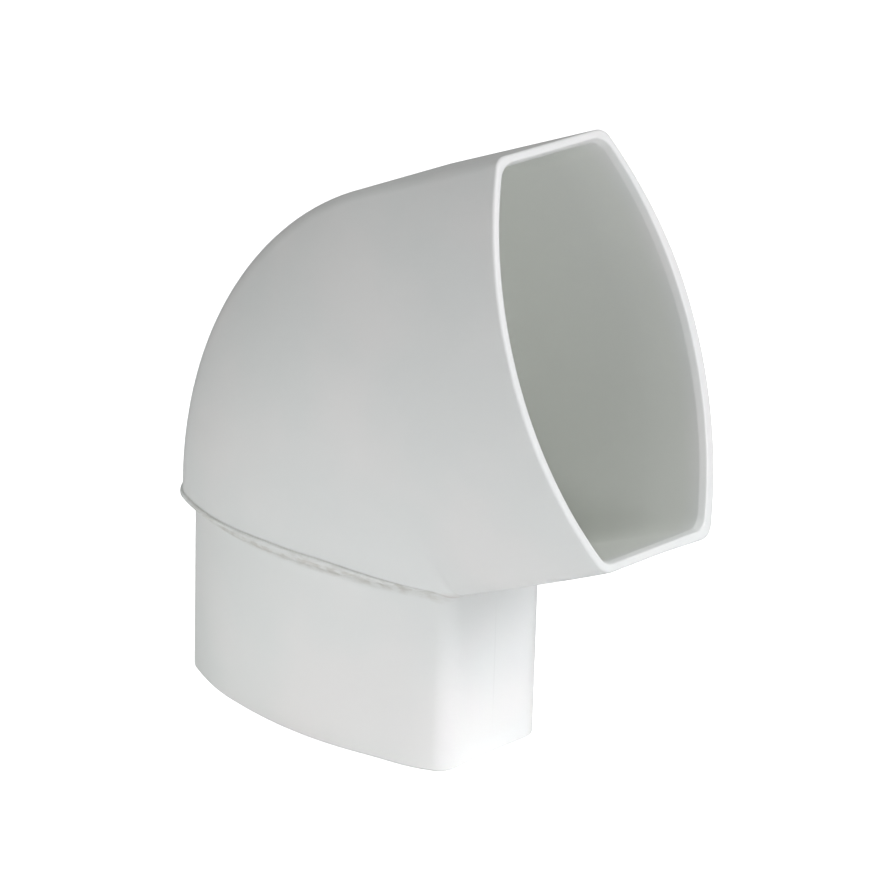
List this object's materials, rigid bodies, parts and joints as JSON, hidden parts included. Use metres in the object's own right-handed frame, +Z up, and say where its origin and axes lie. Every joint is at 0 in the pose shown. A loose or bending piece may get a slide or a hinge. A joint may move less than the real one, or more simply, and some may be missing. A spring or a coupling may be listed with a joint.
{
  "type": "downspout elbow",
  "caption": "One-piece plastic elbow for an oval rainwater pipe: a spigot below and a wider socket above, turned through 67.5 degrees in the plane of the oval's long way.",
  "frame": {"origin": "centre of the spigot's lower end", "axes": "+Z up the spigot's axis, +X the long way of the section and the way the socket leans, +Y the short way"},
  "size_m": [0.144, 0.0628, 0.1562],
  "materials": {
    "white_plastic": "moulded, soft sheen"
  },
  "bodies": {
    "root": {"elbow": "white_plastic"}
  },
  "joints": []
}
